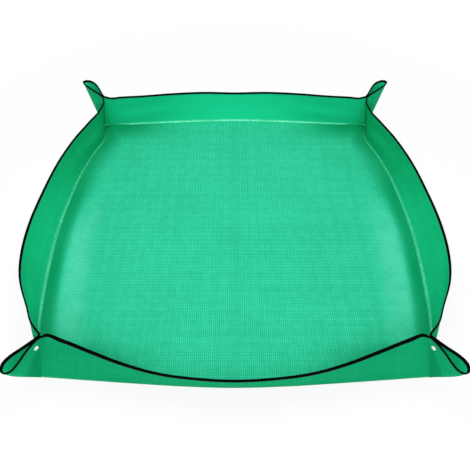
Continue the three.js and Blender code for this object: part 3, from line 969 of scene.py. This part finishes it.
def post_outline():
    shank_end = STUD_END + POST_SHORT
    edge = arc_points((POST_RADIUS - POST_ROUND, SEAT + POST_ROUND), POST_ROUND, -90, 75, 6)
    dish = [(radius, SEAT + height) for radius, height in POST_DISH]
    return [(0, shank_end), (POST_SHANK, shank_end), (POST_SHANK, SEAT)] + edge + dish


def turned(name, outline, ear, material):
    """A round piece about the snap's axis, from an outline of radius and height."""
    closed = outline[0] == outline[-1]
    profile = outline[:-1] if closed else outline
    points, rings = [], []
    for radius, height in profile:
        steps = TURN_STEPS if radius > ON_AXIS else 1
        rings.append([len(points) + k % steps for k in range(TURN_STEPS + 1)])
        for k in range(steps):
            a = 2 * math.pi * k / TURN_STEPS
            points.append(ear.place(SNAP + np.array([radius * math.cos(a), height, radius * math.sin(a)])))
    faces = []
    for low, high in zip(rings, rings[1:] + (rings[:1] if closed else [])):
        for k in range(TURN_STEPS):
            face = list(dict.fromkeys([low[k], high[k], high[k + 1], low[k + 1]]))
            if len(face) > 2:
                faces.append(face)
    return facing_out(name, points, faces, material)


def facing_out(name, points, faces, material):
    """A closed piece with its faces turned outwards and its sharp turns kept crisp."""
    points = np.array(points)
    volume = sum(
        float(np.dot(points[f[0]], np.cross(points[f[i]], points[f[i + 1]])))
        for f in faces for i in range(1, len(f) - 1)
    )
    if volume < 0:
        faces = [f[::-1] for f in faces]
    piece = mesh_piece(name, points, faces, material)
    piece.data.set_sharp_from_angle(angle=SHARP_TURN)
    return piece


def spring_ring(name, ear, material):
    """Split ring of round wire in the socket's groove."""
    points = []
    for k in range(SPRING_STEPS + 1):
        a = math.radians(SPRING_START + (360 - 2 * SPRING_START) * k / SPRING_STEPS)
        for i in range(SPRING_SIDES):
            b = 2 * math.pi * i / SPRING_SIDES
            reach, height = SPRING_RADIUS + SPRING_WIRE * math.cos(b), RING_AT + SPRING_WIRE * math.sin(b)
            points.append(ear.place(SNAP + np.array([reach * math.cos(a), height, reach * math.sin(a)])))
    return facing_out(name, points, tube_faces(SPRING_STEPS + 1, SPRING_SIDES), material)


# Each piece rides its body


def settle(piece, body, slot, *nodes):
    """A piece rides its body and stands for its solids."""
    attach(piece, body)
    if nodes:
        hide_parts(*nodes)
    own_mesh(piece)
    return piece


# The whole mat

def bind_edge(body, grid, width, end_width, leg, finish):
    """Tape and stitches along the top row of a grid of cloth."""
    below = grid[-1 - TAPE_ROWS]
    tape, track = binding(f"{body}_tape", grid[-1], below, width, end_width, leg, finish["tape"])
    settle(tape, body, "binding", f"{body}_binding")
    thread = settle(stitches(f"{body}_stitches", track, finish["thread"]), body, "binding")
    return [tape, thread]


def build_floor(finish):
    piece, area = floor_cloth(finish["cloth"])
    settle(piece, "floor", "cloth", "floor_panel")


def build_wall(wall, finish):
    body = f"{wall.name}_wall"
    piece, area, grid = wall_cloth(wall, finish["cloth"])
    settle(piece, body, "cloth", body)
    tape = (LOW_TAPE, LOW_TAPE, TAPE)
    if wall.name == "front":
        tape = (TAPE_WIDTH, PINCH_TAPE * DIAG, FRONT_TAPE)
    trim = bind_edge(body, grid, *tape, finish)


def build_ear(ear, finish):
    piece, area, grid = ear_cloth(ear, finish["ear"])
    settle(piece, ear.body, "cloth", f"{ear.body}_half")
    width = end_width = EAR_TAPE if ear.end == "front" else LOW_TAPE
    if ear.half == "front":
        width, end_width = NARROW_TAPE, PINCH_TAPE
    trim = bind_edge(ear.body, grid, width, end_width, TAPE, finish)
    build_snap(ear, finish)


def build_snap(ear, finish):
    """Cap, socket and spring on the front or back layer of an ear, stud and post on its side layer."""
    outlines = {"stud": stud_outline, "post": post_outline}
    if ear.on_end:
        outlines = {"cap": cap_outline, "socket": socket_outline}
    for part, outline in outlines.items():
        node = f"{ear.snap}_{part}"
        metal = finish["enamel" if part == "post" else "nickel"]
        settle(turned(f"{node}_metal", outline(), ear, metal), ear.body, "snap", node)
    if ear.on_end:
        node = f"{ear.snap}_spring"
        settle(spring_ring(f"{node}_metal", ear, finish["nickel"]), ear.body, "snap", node)


def build_mat():
    finish = {
        "cloth": cloth_material("woven_polyethylene", 0.0),
        "ear": cloth_material("woven_polyethylene_ears", EAR_LIGHT),
        "tape": tape_material(),
        "thread": thread_material(),
        "nickel": nickel_material(),
        "enamel": enamel_material(),
    }
    build_floor(finish)
    for wall in WALLS.values():
        build_wall(wall, finish)
    for end in ("front", "back"):
        for side in ("left", "right"):
            for half in (end, side):
                build_ear(EarHalf(end, side, half), finish)


# Camera, light and stage

def camera():
    data = bpy.data.cameras.new("camera")
    data.sensor_width = SENSOR
    data.lens = FOCAL / IMAGE_SIZE * SENSOR
    data.clip_start = 0.01
    seat = bpy.data.objects.new("camera", data)
    seat.location = CAMERA_AT
    seat.rotation_euler = Euler((math.pi / 2 - CAMERA_PITCH, 0, 0))
    bpy.context.scene.collection.objects.link(seat)
    bpy.context.scene.camera = seat


def softbox(name, at, aim, size, power):
    data = bpy.data.lights.new(name, "AREA")
    data.shape = "RECTANGLE"
    data.size, data.size_y = size
    data.energy = power
    lamp = bpy.data.objects.new(name, data)
    lamp.location = at
    lamp.rotation_euler = (Vector(aim) - Vector(at)).to_track_quat("-Z", "Y").to_euler()
    lamp.visible_camera = False
    bpy.context.scene.collection.objects.link(lamp)


def seen_directly(tree):
    """1 for rays that show the background, straight or in metal, and 0 for rays that carry light."""
    path = tree.nodes.new("ShaderNodeLightPath")
    total = path.outputs["Is Camera Ray"]
    for name in ("Is Glossy Ray", "Is Transmission Ray"):
        add = tree.nodes.new("ShaderNodeMath")
        add.operation = "ADD"
        add.use_clamp = True
        tree.links.new(total, add.inputs[0])
        tree.links.new(path.outputs[name], add.inputs[1])
        total = add.outputs[0]
    return total


def world(fill):
    made = bpy.data.worlds.new("studio")
    made.use_nodes = True
    tree = made.node_tree
    background = tree.nodes["Background"]
    background.inputs["Color"].default_value = (1, 1, 1, 1)
    level = tree.nodes.new("ShaderNodeMapRange")
    level.inputs["To Min"].default_value = fill
    level.inputs["To Max"].default_value = 1.0
    tree.links.new(seen_directly(tree), level.inputs["Value"])
    tree.links.new(level.outputs[0], background.inputs["Strength"])
    bpy.context.scene.world = made


def ground_material():
    """Pale ground that shows as white, with the mat's soft shadow close to it."""
    g = Graph("ground")
    g.set("Base Color", (0.95, 0.95, 0.95, 1))
    g.set("Roughness", 0.9)
    g.set("Specular IOR Level", 0.0)
    reach = g.node("ShaderNodeVectorMath", operation="LENGTH")
    g.put(reach.inputs[0], g.own_place())
    paper = g.ramp(reach.outputs["Value"], *SHADOW_ZONE, SHADOW_PAPER, 1.0)
    share = g.node("ShaderNodeMixShader")
    g.put(share.inputs[0], g.times(seen_directly(g.tree), paper))
    g.put(share.inputs[1], g.shader.outputs[0])
    g.put(share.inputs[2], g.node("ShaderNodeEmission").outputs[0])
    g.put(g.tree.nodes["Material Output"].inputs["Surface"], share.outputs[0])
    return g.material


def ground():
    line = np.linspace(-GROUND_SIZE / 2, GROUND_SIZE / 2, GROUND_POINTS)
    x, y = np.meshgrid(line, line)
    points = np.stack([x, y, np.full_like(x, GROUND)], -1).reshape(-1, 3)
    mesh_piece("ground", points, grid_faces(*x.shape), ground_material())


bpy.context.scene.view_settings.view_transform = "Standard"
camera()
world(WORLD_FILL)
ground()
for lamp in LAMPS:
    softbox(*lamp)
build_mat()
